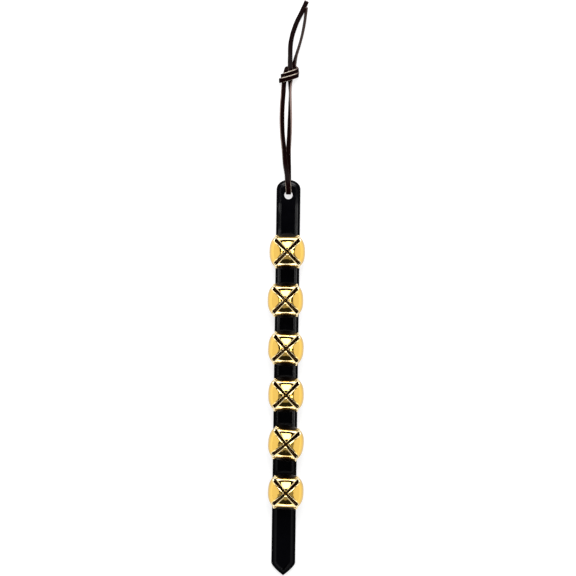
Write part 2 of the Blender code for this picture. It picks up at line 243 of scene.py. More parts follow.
BACK_LACE = (
    ((0.0, 194.8, 5.4), (0, 1, 0)),
    ((0.0, 195.1, 3.2), (0, 1, 0.4)),
    ((0.0, 197.2, 1.6), (0, 0.6, 1)),
    ((0.2, 200.7, 1.35), (0, 0, 1)),
    ((0.2, 208.1, 1.35), (0, 0, 1)),
    ((-0.2, 225.1, 1.6), (0, 0, 1)),
    ((-0.6, 241.1, 2.0), (-0.15, 0, 1)),
    ((0.0, 257.1, 2.4), (-0.5, 0, 1)),
    ((0.3, 272.7, 2.5), (-1.0, 0, 1)),
    ((0.3, 289.1, 2.5), (-2.0, 0, 1)),
    ((0.2, 301.1, 2.7), (-4, 0, 1)),
    ((0.0, 310.9, 3.3), (-1.6, 0, 1)),
    ((0.3, 316.0, 3.55), (0, 0, 1)),
    ((1.2, 321.5, 3.7), (0, 0, 1)),
    ((2.4, 326.2, 4.0), (0, 0.6, 0.8)),
    ((4.1, 328.3, 3.2), (0.1, 1, -0.1)),
    ((6.4, 327.2, 2.7), (0.4, 0.6, -0.8)),
    ((8.0, 325.7, 4.2), (1, 0.1, -0.1)),
    ((6.4, 324.2, 6.8), (0.5, -0.3, 0.9)),
    ((1.2, 321.9, 7.9), (0, -0.34, 1)),
    ((-4.6, 320.0, 7.6), (-0.1, -0.34, 1)),
    ((-8.4, 318.9, 5.8), (-1, -0.2, 0.5)),
    ((-8.6, 319.0, 3.0), (-0.9, 0, -0.5)),
    ((-5.6, 319.8, 1.35), (0, 0, -1)),
    ((-0.4, 320.7, 1.4), (0, 0, -1)),
    ((2.2, 321.6, 2.2), (0.35, -0.1, -0.9)),
    ((4.2, 322.8, 3.1), (0.9, -0.3, -0.3)),
    ((4.7, 326.2, 4.8), (0.3, 0, 1)),
    ((3.9, 330.2, 4.4), (-0.6, 0, 1)),
    ((5.7, 340.1, 3.0), (-1, 0, 0.4)),
    ((9.2, 352.1, 2.75), (-1, 0, 0.25)),
    ((12.0, 363.1, 2.65), (-1, 0, 0.25)),
    ((14.2, 375.1, 2.65), (-1, 0, 0.3)),
    ((15.3, 384.1, 2.65), (-1, 0, 0.3)),
    ((16.0, 392.2, 2.6), (-1, 0, 0.45)),
)

# Studio
FLOOR_HALF_SIZE = 8.0
FLOOR_Z = -0.3 * MM
FLOOR_GREY = 0.4
FLOOR_ROUGHNESS = 0.8
FLOOR_GLOW = 0.74
# Each softbox as (name, place, the point it faces, size, radiance)
SOFTBOXES = (
    ("left_softbox", (-0.43, 0.12, 0.75), (0, 0.12, 0), (0.18, 0.1), 5.0),
    ("right_softbox", (0.43, 0.04, 0.75), (0, 0.04, 0), (0.34, 0.1), 6.5),
    ("end_softbox", (0.0, 1.32, 1.5), (0, 0.05, 0), (1.25, 1.42), 6.5),
)
# The walls' light, by the direction it comes from: each pair is where a smooth ramp along one
# axis starts and where it is full
SIDE_RAMP_X = (0.67, 0.73)
HORIZON_RAMP_Z = (0.21, 0.15)
END_RAMP_Y = (0.6, 0.8)
END_GAIN = 2.0
PANEL_RAMP_Y = (0.02, -0.12)
PANEL_LOW_RAMP_Z = (0.66, 0.74)
PANEL_HIGH_RAMP_Z = (0.97, 0.93)
PANEL_GLOW = 0.35
DIM_GLOW = 0.02

BELL_BASE_ANGLE = -math.acos(BELL_BASE_RADIUS / BELL_RADIUS)
PETAL_TIP_ANGLE = math.acos(PETAL_TIP_RADIUS / BELL_RADIUS)
BELL_BASE_Z = BELL_HALF_HEIGHT * math.sin(BELL_BASE_ANGLE)  # from the bell's middle

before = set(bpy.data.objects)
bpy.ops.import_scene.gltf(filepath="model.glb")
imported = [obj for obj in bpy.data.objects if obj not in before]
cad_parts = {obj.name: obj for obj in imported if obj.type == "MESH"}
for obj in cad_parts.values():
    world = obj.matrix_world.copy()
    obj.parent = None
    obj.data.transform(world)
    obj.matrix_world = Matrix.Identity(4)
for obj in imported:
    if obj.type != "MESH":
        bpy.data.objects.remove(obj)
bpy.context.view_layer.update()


# Building blocks


def share_past(value, start, length):
    """How far a value is past a start, as a share of a length, held from 0 to 1.

    A length below zero counts the other way.
    """
    return min(max((value - start) / length, 0.0), 1.0)


def smooth_step(share):
    return share * share * (3 - 2 * share)


def link(obj):
    bpy.context.scene.collection.objects.link(obj)
    return obj


def mesh_object(name, bm, materials, sharp_degrees=SHARP_DEGREES):
    bmesh.ops.recalc_face_normals(bm, faces=bm.faces)
    mesh = bpy.data.meshes.new(name)
    bm.to_mesh(mesh)
    bm.free()
    mesh.shade_smooth()
    mesh.set_sharp_from_angle(angle=math.radians(sharp_degrees))
    for material in materials:
        mesh.materials.append(material)
    return link(bpy.data.objects.new(name, mesh))


def add_ring(bm, points):
    return [bm.verts.new(point) for point in points]


def bridge(bm, lower, upper, closed=True):
    count = len(lower)
    for i in range(count if closed else count - 1):
        j = (i + 1) % count
        bm.faces.new((lower[i], lower[j], upper[j], upper[i]))


def turned(profile, sides, closed=False):
    """A body turned about Z from (radius, z) pairs; a closed profile makes a ring."""
    bm = bmesh.new()
    angles = [math.tau * i / sides for i in range(sides)]
    rings = []
    for radius, z in profile:
        rings.append(add_ring(bm, [(radius * math.cos(a), radius * math.sin(a), z) for a in angles]))
    for lower, upper in zip(rings, rings[1:]):
        bridge(bm, lower, upper)
    if closed:
        bridge(bm, rings[-1], rings[0])
    else:
        bm.faces.new(rings[0])
        bm.faces.new(rings[-1])
    return bm


def rounded(corner, before, after, radius, steps=4):
    """Points that round a profile's corner off, on a curve that starts and ends a radius from it."""
    corner, before, after = Vector(corner), Vector(before), Vector(after)
    start = corner + (before - corner).normalized() * radius
    end = corner + (after - corner).normalized() * radius
    points = []
    for i in range(steps + 1):
        t = i / steps
        points.append(tuple((1 - t) ** 2 * start + 2 * t * (1 - t) * corner + t**2 * end))
    return points


def waves(place, seed_x, seed_y=0.0):
    """Smooth noise between about -1 and 1, from its own part of the noise for each seed."""
    return noise.noise(place + Vector((seed_x, seed_y, 0)))


def catmull(a, b, c, d, t):
    """The point a share t of the way from b to c, on the smooth curve through all four."""
    rise = (c - a) * t + (2 * a - 5 * b + 4 * c - d) * t**2 + (3 * b - a - 3 * c + d) * t**3
    return b + rise / 2


# Materials

# The Mix node's sockets, by number because its names repeat for each kind of value
MIX_FACTOR = 0
MIX_NUMBER_LOW = 2
MIX_NUMBER_HIGH = 3
MIX_NUMBER_OUT = 0
MIX_COLOUR_LOW = 6
MIX_COLOUR_HIGH = 7
MIX_COLOUR_OUT = 2


def new_material(name, metallic=0.0):
    material = bpy.data.materials.new(name)
    material.use_nodes = True
    shader = material.node_tree.nodes["Principled BSDF"]
    shader.inputs["Metallic"].default_value = metallic
    return material, shader


def add_node(material, kind, **settings):
    node = material.node_tree.nodes.new(kind)
    for key, value in settings.items():
        if key in node.inputs:
            node.inputs[key].default_value = value
        else:
            setattr(node, key, value)
    return node


def wire(material, source, output, target, socket):
    material.node_tree.links.new(source.outputs[output], target.inputs[socket])


def object_coordinates(material, scale=(1.0, 1.0, 1.0)):
    coordinates = add_node(material, "ShaderNodeTexCoord")
    mapping = add_node(material, "ShaderNodeMapping")
    mapping.inputs["Scale"].default_value = scale
    wire(material, coordinates, "Object", mapping, "Vector")
    return mapping


def noise_field(material, mapping, scale, detail, roughness):
    field = add_node(material, "ShaderNodeTexNoise", Scale=scale, Detail=detail, Roughness=roughness)
    wire(material, mapping, "Vector", field, "Vector")
    return field


def cell_field(material, mapping, scale, feature="F1"):
    field = add_node(material, "ShaderNodeTexVoronoi", Scale=scale, feature=feature)
    wire(material, mapping, "Vector", field, "Vector")
    return field


def roughness_from(material, field, low, high, to_low, to_high):
    """Roughness that follows a noise field: from low to high in the field, to_low to to_high."""
    change = add_node(material, "ShaderNodeMapRange")
    change.inputs["From Min"].default_value = low
    change.inputs["From Max"].default_value = high
    change.inputs["To Min"].default_value = to_low
    change.inputs["To Max"].default_value = to_high
    wire(material, field, "Fac", change, "Value")
    return change


def colour_mix(material, factor, low, high):
    """A mix of two colours, each a plain colour or the mix before it."""
    mix = add_node(material, "ShaderNodeMix", data_type="RGBA")
    wire(material, factor, "Fac", mix, MIX_FACTOR)
    for socket, colour in ((MIX_COLOUR_LOW, low), (MIX_COLOUR_HIGH, high)):
        if isinstance(colour, tuple):
            mix.inputs[socket].default_value = (*colour, 1.0)
        else:
            wire(material, colour, MIX_COLOUR_OUT, mix, socket)
    return mix


def use_colour(material, shader, mix):
    wire(material, mix, MIX_COLOUR_OUT, shader, "Base Color")


def use_roughness(material, shader, gloss, covered=None, covered_roughness=0.0):
    """Wires the roughness, and turns it to another value where an attribute says it is covered."""
    if not covered:
        wire(material, gloss, "Result", shader, "Roughness")
        return
    mix = add_node(material, "ShaderNodeMix", data_type="FLOAT")
    wire(material, covered, "Fac", mix, MIX_FACTOR)
    wire(material, gloss, "Result", mix, MIX_NUMBER_LOW)
    mix.inputs[MIX_NUMBER_HIGH].default_value = covered_roughness
    wire(material, mix, MIX_NUMBER_OUT, shader, "Roughness")


def add_bump(material, shader, height, output, strength, distance, below=None):
    bump = add_node(material, "ShaderNodeBump", Strength=strength, Distance=distance)
    wire(material, height, output, bump, "Height")
    if below:
        wire(material, below, "Normal", bump, "Normal")
    wire(material, bump, "Normal", shader, "Normal")
    return bump


def attribute(material, name):
    return add_node(material, "ShaderNodeAttribute", attribute_name=name)


def strap_leather():
    """Glossy black bridle leather: fine pebbled grain, a few soft scuffs, and a fibrous back."""
    material, shader = new_material("black_bridle_leather")
    shader.inputs["IOR"].default_value = 1.3
    place = object_coordinates(material)
    along = object_coordinates(material, scale=(1.0, 0.35, 1.0))
    scuffs = noise_field(material, place, scale=90.0, detail=5.0, roughness=0.6)
    fibres = noise_field(material, along, scale=900.0, detail=6.0, roughness=0.7)
    pebbles = cell_field(material, place, scale=1500.0, feature="SMOOTH_F1")
    flesh = attribute(material, "flesh")
    black = colour_mix(material, scuffs, (0.0008, 0.0008, 0.0014), (0.002, 0.002, 0.003))
    brown = colour_mix(material, fibres, (0.012, 0.009, 0.008), (0.04, 0.031, 0.026))
    use_colour(material, shader, colour_mix(material, flesh, black, brown))
    gloss = roughness_from(material, scuffs, low=0.35, high=0.7, to_low=0.09, to_high=0.16)
    use_roughness(material, shader, gloss, covered=flesh, covered_roughness=0.85)
    grain = add_bump(material, shader, pebbles, "Distance", strength=0.035, distance=0.05 * MM)
    add_bump(material, shader, fibres, "Fac", strength=0.03, distance=0.05 * MM, below=grain)
    return material


def bell_brass():
    """Polished brass: faint drawn bands, pale painted highlights on the lips, ears and end lines, and
    painted shade low down and at the ends.
    """
    material, shader = new_material("polished_bell_brass", metallic=1.0)
    place = object_coordinates(material)
    drawn = object_coordinates(material, scale=(1.0, 0.12, 0.3))
    brushed = object_coordinates(material, scale=(1.0, 0.08, 1.0))
    bands = noise_field(material, drawn, scale=160.0, detail=2.0, roughness=0.5)
    clouds = noise_field(material, place, scale=120.0, detail=3.0, roughness=0.5)
    scratches = noise_field(material, brushed, scale=2600.0, detail=2.0, roughness=0.6)
    painted_shade = attribute(material, "painted_shade")
    skin = colour_mix(material, bands, (0.86, 0.52, 0.095), (0.95, 0.63, 0.15))
    # The pale cream is a painted highlight, where the painted highlight attribute says
    skin_and_highlight = colour_mix(material, attribute(material, "painted_highlight"), skin, (0.99, 0.94, 0.7))
    # The near-black mix is painted shade, where the painted shade attribute says
    use_colour(material, shader, colour_mix(material, painted_shade, skin_and_highlight, (0.018, 0.01, 0.005)))
    gloss = roughness_from(material, clouds, low=0.3, high=0.75, to_low=0.03, to_high=0.085)
    use_roughness(material, shader, gloss, covered=painted_shade, covered_roughness=0.4)
    add_bump(material, shader, scratches, "Fac", strength=0.02, distance=0.02 * MM)
    return material


def bell_inside():
    """The unpolished inside of a bell, dark with scale."""
    material, shader = new_material("dark_bell_inside", metallic=0.6)
    place = object_coordinates(material)
    scale_marks = noise_field(material, place, scale=420.0, detail=5.0, roughness=0.65)
    brown = colour_mix(material, scale_marks, (0.1, 0.045, 0.018), (0.5, 0.3, 0.1))
    use_colour(material, shader, brown)
    gloss = roughness_from(material, scale_marks, low=0.3, high=0.7, to_low=0.42, to_high=0.7)
    use_roughness(material, shader, gloss)
    add_bump(material, shader, scale_marks, "Fac", strength=0.2, distance=0.05 * MM)
    return material


def rivet_brass():
    """Brass that has been hammered and handled: browned in patches, dull and lightly marked."""
    material, shader = new_material("hammered_rivet_brass", metallic=1.0)
    place = object_coordinates(material)
    tarnish = noise_field(material, place, scale=520.0, detail=5.0, roughness=0.6)
    blows = noise_field(material, place, scale=900.0, detail=2.0, roughness=0.5)
    brass = colour_mix(material, tarnish, (0.4, 0.22, 0.07), (0.86, 0.62, 0.26))
    use_colour(material, shader, brass)
    gloss = roughness_from(material, tarnish, low=0.3, high=0.7, to_low=0.4, to_high=0.22)
    use_roughness(material, shader, gloss)
    add_bump(material, shader, blows, "Fac", strength=0.25, distance=0.12 * MM)
    return material


def pellet_steel():
    """Tumbled steel shot: grey, with fine pits."""
    material, shader = new_material("tumbled_pellet_steel", metallic=1.0)
    place = object_coordinates(material)
    mottle = noise_field(material, place, scale=700.0, detail=5.0, roughness=0.6)
    pits = cell_field(material, place, scale=1300.0)
    steel = colour_mix(material, mottle, (0.3, 0.29, 0.29), (0.62, 0.62, 0.64))
    use_colour(material, shader, steel)
    gloss = roughness_from(material, mottle, low=0.3, high=0.7, to_low=0.5, to_high=0.28)
    use_roughness(material, shader, gloss)
    add_bump(material, shader, pits, "Distance", strength=0.15, distance=0.1 * MM)
    return material


def lace_leather():
    """Dark latigo lace: near-black oiled faces, and raw cut edges of pinkish tan fibre, with a painted
    cream highlight on some edges.
    """
    material, shader = new_material("dark_latigo_lace")
    shader.inputs["IOR"].default_value = 1.1
    place = object_coordinates(material)
    oil = noise_field(material, place, scale=150.0, detail=4.0, roughness=0.6)
    fibres = noise_field(material, place, scale=1500.0, detail=4.0, roughness=0.7)
    face = colour_mix(material, oil, (0.0008, 0.0003, 0.0003), (0.009, 0.001, 0.001))
    tan = colour_mix(material, fibres, (0.16, 0.085, 0.07), (0.58, 0.43, 0.38))
    # The cream is a painted highlight on the cut edges
    highlight_cream = colour_mix(material, fibres, (0.62, 0.5, 0.38), (0.95, 0.88, 0.74))
    raw = colour_mix(material, attribute(material, "edge_highlight"), tan, highlight_cream)
    use_colour(material, shader, colour_mix(material, attribute(material, "raw"), face, raw))
    gloss = roughness_from(material, oil, low=0.3, high=0.7, to_low=0.24, to_high=0.38)
    use_roughness(material, shader, gloss)
    add_bump(material, shader, fibres, "Fac", strength=0.2, distance=0.06 * MM)
    return material


# Lace


def strand_rings(route):
    """Points along the strand's smooth centreline, each with the way its face looks."""
    places = [Vector(place) * MM for place, facing in route]
    facings = [Vector(facing).normalized() for place, facing in route]
    padded = [2 * places[0] - places[1], *places, 2 * places[-1] - places[-2]]
    turned_faces = [facings[0], *facings, facings[-1]]
    rings = [(places[0], facings[0])]
    for i in range(len(places) - 1):
        steps = max(2, round((places[i + 1] - places[i]).length / LACE_STEP))
        for k in range(1, steps + 1):
            t = k / steps
            place = catmull(*padded[i : i + 4], t)
            rings.append((place, catmull(*turned_faces[i : i + 4], t).normalized()))
    return rings


def lace_section():
    """A rounded oblong as (across, out of the face, how far it is raw edge)."""
    half_width = LACE_WIDTH / 2
    half_thickness = LACE_THICKNESS / 2
    inner_width = half_width - LACE_CORNER
    inner_thickness = half_thickness - LACE_CORNER
    points = []
    for side_x, side_y, start in ((1, 1, 0), (-1, 1, 90), (-1, -1, 180), (1, -1, 270)):
        for step in range(LACE_CORNER_STEPS + 1):
            angle = math.radians(start + 90 * step / LACE_CORNER_STEPS)
            across = side_x * inner_width + LACE_CORNER * math.cos(angle)
            out = side_y * inner_thickness + LACE_CORNER * math.sin(angle)
            edge = share_past(abs(math.cos(angle)), EDGE_COSINE_START, EDGE_COSINE_FADE)
            points.append((across, out, edge))
        if start in (0, 180):
            points += [(side_x * inner_width * share, side_y * half_thickness, 0.0)
                       for share in LACE_FACE_SHARES]
    return points


def edge_look(place):
    """How bare the cut edge is, and how much painted highlight it has: painted highlight on the knot's
    front wraps and over the strap's end, and painted shade on the knot's lower edges.
    """
    off_strap = share_past(place.y, NECK_START_Y, NECK_FADE)
    in_neck = min(off_strap, share_past(place.y, NECK_TOP_Y, -NECK_TOP_FADE))
    into_tail = share_past(place.y, TAIL_START_Y, KNOT_FADE)
    in_knot = share_past(place.y, KNOT_START_Y, KNOT_FADE) * (1 - into_tail)
    in_wrap = in_knot * share_past(place.z, FRONT_WRAP_Z, FRONT_WRAP_FADE)
    # Painted shade darkens the knot's lower edges, and painted highlight lightens its front wraps
    bare = EDGE_BARE - NECK_OILED * in_neck - KNOT_SHADE * (in_knot - in_wrap)
    bare += WRAP_HIGHLIGHT_BARE * in_wrap - TAIL_OILED * into_tail
    return bare, max(WRAP_HIGHLIGHT * in_wrap, STRAP_END_HIGHLIGHT * (1 - off_strap))


def make_strand(name, route, material):
    """A flat strip swept along its route, cut square at its end."""
    rings = strand_rings(route)
    section = lace_section()
    bm = bmesh.new()
    for layer in ("raw", "edge_highlight"):
        bm.verts.layers.float.new(layer)
    raw = bm.verts.layers.float["raw"]
    edge_highlight = bm.verts.layers.float["edge_highlight"]
    outlines = []
    for i, (place, facing) in enumerate(rings):
        before = rings[max(i - 1, 0)][0]
        after = rings[min(i + 1, len(rings) - 1)][0]
        tangent = (after - before).normalized()
        normal = (facing - tangent * facing.dot(tangent)).normalized()
        across = tangent.cross(normal)
        swell = 1 + LACE_SWELL * noise.noise(place * LACE_SWELLS_PER_METRE)
        if place.z > STRAP_THICKNESS + LIFT:
            swell += OVER_STRAP_SPREAD * share_past(place.y, OVER_STRAP_END_Y, -NECK_FADE)
        outline = add_ring(bm, [place + across * u * swell + normal * v for u, v, edge in section])
        # The edge's painted shade and painted highlight, by place
        bare, highlight_share = edge_look(place)
        for vert, (u, v, edge) in zip(outline, section):
            vert[raw] = bare * edge
            vert[edge_highlight] = highlight_share
        outlines.append(outline)
    for lower, upper in zip(outlines, outlines[1:]):
        bridge(bm, lower, upper)
    bm.faces.new(outlines[0])
    end = bm.faces.new(outlines[-1])
    cap = bmesh.ops.inset_individual(bm, faces=[end], thickness=0.25 * MM, depth=0.1 * MM)
    for face in [end, *cap["faces"]]:
        for vert in face.verts:
            vert[raw] = max(vert[raw], CUT_END_BARE)
    strand = mesh_object(name, bm, [material], sharp_degrees=50.0)
    return strand, [place for place, facing in rings]


def make_lace(material):
    """The one lace as two strands that meet in the strap's hole, each with its part of the knot."""
    strands = (
        ("lace_front_strand", FRONT_LACE, FRONT_LACE_LENGTH, "lace_tail_long"),
        ("lace_back_strand", BACK_LACE, BACK_LACE_LENGTH, "lace_tail_short"),
    )
    for name, route, length, tail in strands:
        strand, path = make_strand(name, route, material)
        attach(strand, "strap")
        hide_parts("lace_loop", "lace_knot", tail)


# Strap


def strap_outline(low, high):
    """The strap's outline, counter-clockwise from the tip of its point."""
    half_width = high.x
    right = []
    for i in range(1, POINT_STEPS + 1):
        share = i / POINT_STEPS
        x = half_width * (1 - (1 - share) ** POINT_POWER)
        right.append((x, low.y + POINT_DEPTH * share))
    for i in range(TOP_END_STEPS):
        angle = math.pi / 2 * i / TOP_END_STEPS
        x = half_width * math.cos(angle) ** (2 / TOP_END_POWER)
        y = TOP_END_DEPTH * math.sin(angle) ** (2 / TOP_END_POWER)
        right.append((x, high.y - TOP_END_DEPTH + y))
    left = [(-x, y) for x, y in reversed(right)]
    return [(0.0, low.y), *right, (0.0, high.y), *left]


def inset(outline, distance):
    """The outline moved inwards, each corner along its mitre."""
    moved = []
    count = len(outline)
    for i in range(count):
        before = Vector(outline[i - 1])
        here = Vector(outline[i])
        after = Vector(outline[(i + 1) % count])
        way_in = (here - before).normalized()
        way_out = (after - here).normalized()
        normal_in = Vector((-way_in.y, way_in.x))
        normal_out = Vector((-way_out.y, way_out.x))
        mitre = (normal_in + normal_out).normalized()
        moved.append(here + mitre * distance / mitre.dot(normal_in))
    return moved


def lift_at(y):
    """How far the strap has risen off the table, where the lace under it props its top end up."""
    return LIFT * smooth_step(share_past(y, LIFT_START_Y, LIFT_END_Y - LIFT_START_Y))


def strap_blank(low, high):
    """The strap before it is punched, cut across where it bends and lifted at its top end."""
    outline = strap_outline(low, high)
    section = list(reversed(BACK_SECTION_MM))
    section += [(d, STRAP_THICKNESS / MM - depth) for d, depth in FACE_SECTION_MM]
    bm = bmesh.new()
    rings = [add_ring(bm, [(*p, z * MM) for p in inset(outline, d * MM)]) for d, z in section]
    for lower, upper in zip(rings, rings[1:]):
        bridge(bm, lower, upper)
    bm.faces.new(rings[0])
    bm.faces.new(rings[-1])
    for i in range(LIFT_CUTS + 1):
        y = LIFT_START_Y + (LIFT_END_Y - LIFT_START_Y) * i / LIFT_CUTS
        geometry = bm.verts[:] + bm.edges[:] + bm.faces[:]
        bmesh.ops.bisect_plane(bm, geom=geometry, plane_co=(0, y, 0), plane_no=(0, 1, 0))
    flesh = bm.verts.layers.float.new("flesh")
    for vert in bm.verts:
        vert[flesh] = 1.0 if vert.co.z < FLESH_TOP_Z else 0.0
        vert.co.z += lift_at(vert.co.y)
    return bm


def merge_into(whole, part, offset):
    """Moves a part by an offset, adds it to the whole and frees it."""
    bmesh.ops.translate(part, verts=part.verts, vec=offset)
    piece = bpy.data.meshes.new("cutter_part")
    part.to_mesh(piece)
    part.free()
    whole.from_mesh(piece)
    bpy.data.meshes.remove(piece)


def strap_cutter(bell_places):
    """The lace hole, with its rims softened, and each rivet's shank hole and burr recess."""
    beyond = 2 * MM
    back = LIFT
    face = STRAP_THICKNESS + LIFT
    wide = LACE_HOLE_RADIUS + HOLE_RIM
    back_rim = (LACE_HOLE_RADIUS, back)
    face_rim = (LACE_HOLE_RADIUS, face)
    hole = [(wide + beyond, back - beyond)]
    hole += rounded(back_rim, (wide, back - HOLE_RIM), face_rim, HOLE_RIM)
    hole += rounded(face_rim, back_rim, (wide, face + HOLE_RIM), HOLE_RIM)
    hole.append((wide + beyond, face + beyond))
    whole = bmesh.new()
    merge_into(whole, turned(hole, TURNED_SIDES), (0, LACE_HOLE_Y, 0))
    recess_top = RIVET_TAIL_Z + PEENED_HEIGHT + GAP + BURR_HEIGHT + GAP
    recess = (
        (BURR_RADIUS + GAP, -beyond),
        (BURR_RADIUS + GAP, recess_top),
        (SHANK_RADIUS + GAP, recess_top),
        (SHANK_RADIUS + GAP, STRAP_THICKNESS + beyond),
    )
    for place in bell_places:
        merge_into(whole, turned(recess, TURNED_SIDES), (place.x, place.y, 0))
    return whole


def make_strap(material, bell_places):
    """The strap, with its lace hole and its rivets' holes and recesses cut out of it."""
    low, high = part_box("strap")
    strap = mesh_object("strap_with_crease", strap_blank(low, high), [material])
    cutter = mesh_object("strap_cutter", strap_cutter(bell_places), [material])
    punch = strap.modifiers.new("punched_holes", "BOOLEAN")
    punch.operation = "DIFFERENCE"
    punch.solver = "EXACT"
    punch.object = cutter
    shown = strap.evaluated_get(bpy.context.evaluated_depsgraph_get())
    strap.data = bpy.data.meshes.new_from_object(shown)
    strap.modifiers.clear()
    bpy.data.objects.remove(cutter)
    strap.data.set_sharp_from_angle(angle=math.radians(SHARP_DEGREES))
    strap.modifiers.new("even_shading", "WEIGHTED_NORMAL").keep_sharp = True
    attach(strap, "strap")
    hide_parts("strap")


# Bells


def plan_reach(turn):
    """How far the bell's rounded-square plan reaches at an angle round it, against its radius."""
    size = abs(math.cos(turn)) ** BELL_CORNER_POWER + abs(math.sin(turn)) ** BELL_CORNER_POWER
    return size ** (-1 / BELL_CORNER_POWER)


def corner_radius(angle):
    """How far out a bell reaches between two petals, at an elevation angle."""
    return BELL_RADIUS * math.cos(angle) * plan_reach(QUARTER / 2)


def smooth_point(angle, turn):
    """A point of the plain skin: round at the base, squarer from the middle up."""
    square = smooth_step(share_past(angle, BELL_BASE_ANGLE, -BELL_BASE_ANGLE))
    radius = BELL_RADIUS * math.cos(angle) * (1 + (plan_reach(turn) - 1) * square)
    return Vector((radius * math.cos(turn), radius * math.sin(turn), BELL_HALF_HEIGHT * math.sin(angle)))


def slot_run(angle):
    """How far up from the slots' outer ends an elevation angle lies, along the skin."""
    return (angle - SLOT_END_ANGLE) * BELL_HALF_HEIGHT


def slot_half_width(angle):
    """Half the slot's width at an elevation angle: a round end, then a slow narrowing to the tips."""
    end_half = SLOT_WIDTH_AT_END / 2
    run = slot_run(angle)
    if run <= 0:
        return 0.0
    if run < end_half:
        return math.sqrt(end_half**2 - (end_half - run) ** 2)
    share = (angle - SLOT_END_ANGLE) / (PETAL_TIP_ANGLE - SLOT_END_ANGLE)
    return end_half + (SLOT_WIDTH_AT_TIP / 2 - end_half) * share


def petal_reach(angle):
    """How far a petal reaches round the bell from its own middle to the slot's edge."""
    return QUARTER / 2 - math.asin(min(slot_half_width(angle) / corner_radius(angle), 1.0))


def aside_of_slot(angle, offset):
    """How far a point lies from the nearest slot's middle line; offset is its turn off its petal."""
    return corner_radius(angle) * math.sin(QUARTER / 2 - abs(offset))


def slot_distance(angle, offset):
    """How far a point of the skin is from the nearest slot's edge."""
    end_half = SLOT_WIDTH_AT_END / 2
    aside = aside_of_slot(angle, offset)
    run = slot_run(angle)
    if run < end_half:
        distance = math.hypot(end_half - run, aside) - end_half
    else:
        distance = aside - slot_half_width(angle)
    return max(distance, 0.0)


def rolled_drop(distance, radius):
    """How far an edge that is rolled under falls away, at a distance in from it."""
    into = min(max(radius - distance, 0.0), radius)
    return radius - math.sqrt(radius**2 - into**2)


def lip_radius(angle):
    """The lip's radius: smaller where a petal is too narrow to carry the full one."""
    return min(LIP_RADIUS, LIP_PETAL_SHARE * petal_reach(angle) * BELL_RADIUS * math.cos(angle))


def skin_point(angle, turn, offset, seed):
    """A point of the finished skin: the lip rolled under, the ears raised, and faint waves, with its
    share of painted highlight.
    """
    point = smooth_point(angle, turn)
    normal = Vector((
        point.x / BELL_RADIUS**2, point.y / BELL_RADIUS**2, point.z / BELL_HALF_HEIGHT**2,
    )).normalized()
    radius = lip_radius(angle)
    from_slot = slot_distance(angle, offset)
    from_tip = (PETAL_TIP_ANGLE - angle) * BELL_RADIUS
    drop = max(rolled_drop(from_slot, radius), rolled_drop(from_tip, TIP_ROLL))
    on_end_petal = abs(math.sin(turn)) > abs(math.cos(turn))
    ear = 0.0
    end_highlight = 0.0
    if on_end_petal:
        aside = (aside_of_slot(angle, offset) - EAR_ASIDE) / EAR_WIDTH
        below = (slot_run(angle) + EAR_BELOW) / EAR_LENGTH
        ear = math.exp(-(aside**2) - below**2)
        end_highlight = math.exp(-(((abs(point.y) - END_HIGHLIGHT_Y) / END_HIGHLIGHT_WIDTH) ** 2))
    wave = SKIN_WAVE * waves(point / SKIN_WAVE_LENGTH, seed * SKIN_SEED_STEP)
    if angle > 0:
        near_tip = share_past(point.xy.length, TIP_WAVE_REACH, -TIP_WAVE_FADE)
        ripple = waves(point / TIP_WAVE_LENGTH, seed * TIP_SEED_STEP, TIP_SEED_START)
        wave += TIP_WAVE * near_tip * ripple
    # The pale share is a painted highlight along the lips, on the ears and on the end lines
    painted_highlight = max(1 - from_slot / radius, EAR_HIGHLIGHT * ear, END_HIGHLIGHT_SHARE * end_highlight)
    return point + normal * (EAR_HEIGHT * ear + wave - drop), painted_highlight


def petal_shares(angle):
    """Where a petal's columns stand, from 0 at its middle to 1 at its edge, close in the lip."""
    half_petal = petal_reach(angle) * BELL_RADIUS * math.cos(angle)
    radius = lip_radius(angle)
    flat = [(1 - radius / half_petal) * i / FACE_COLUMNS for i in range(FACE_COLUMNS)]
    steps = [math.pi / 2 * i / (LIP_COLUMNS - 1) for i in range(LIP_COLUMNS)]
    lip = [1 - radius * (1 - math.sin(step)) / half_petal for step in steps]
    half = flat + lip
    return [-share for share in reversed(half[1:])] + half


def painted_shade_at(point, angle):
    """How much painted shade darkens the skin: all round low down, and higher on the ends that face
    other bells.
    """
    low_down = share_past(angle, PAINTED_SHADE_TOP, PAINTED_SHADE_FULL - PAINTED_SHADE_TOP)
    at_end = share_past(abs(point.y), END_SHADE_START, END_SHADE_FULL - END_SHADE_START)
    beside = share_past(abs(point.x), END_SHADE_HALF_WIDTH, END_SHADE_FADE)
    return max(low_down, at_end * (1 - beside))


def skin_row(bm, angle, shares, petal, seed, layers):
    """One petal's row of points at an elevation angle, with how much painted highlight and painted shade
    each one carries.
    """
    reach = petal_reach(angle)
    row = []
    for share in shares:
        point, painted_highlight = skin_point(angle, petal * QUARTER + reach * share, reach * share, seed)
        vert = bm.verts.new(point)
        vert[layers["painted_highlight"]] = painted_highlight
        vert[layers["painted_shade"]] = painted_shade_at(point, angle) * (1 - painted_highlight)
        row.append(vert)
    return row


def evenly(start, end, count):
    """Even steps from a start up to, but not onto, an end."""
    return [start + (end - start) * i / count for i in range(count)]


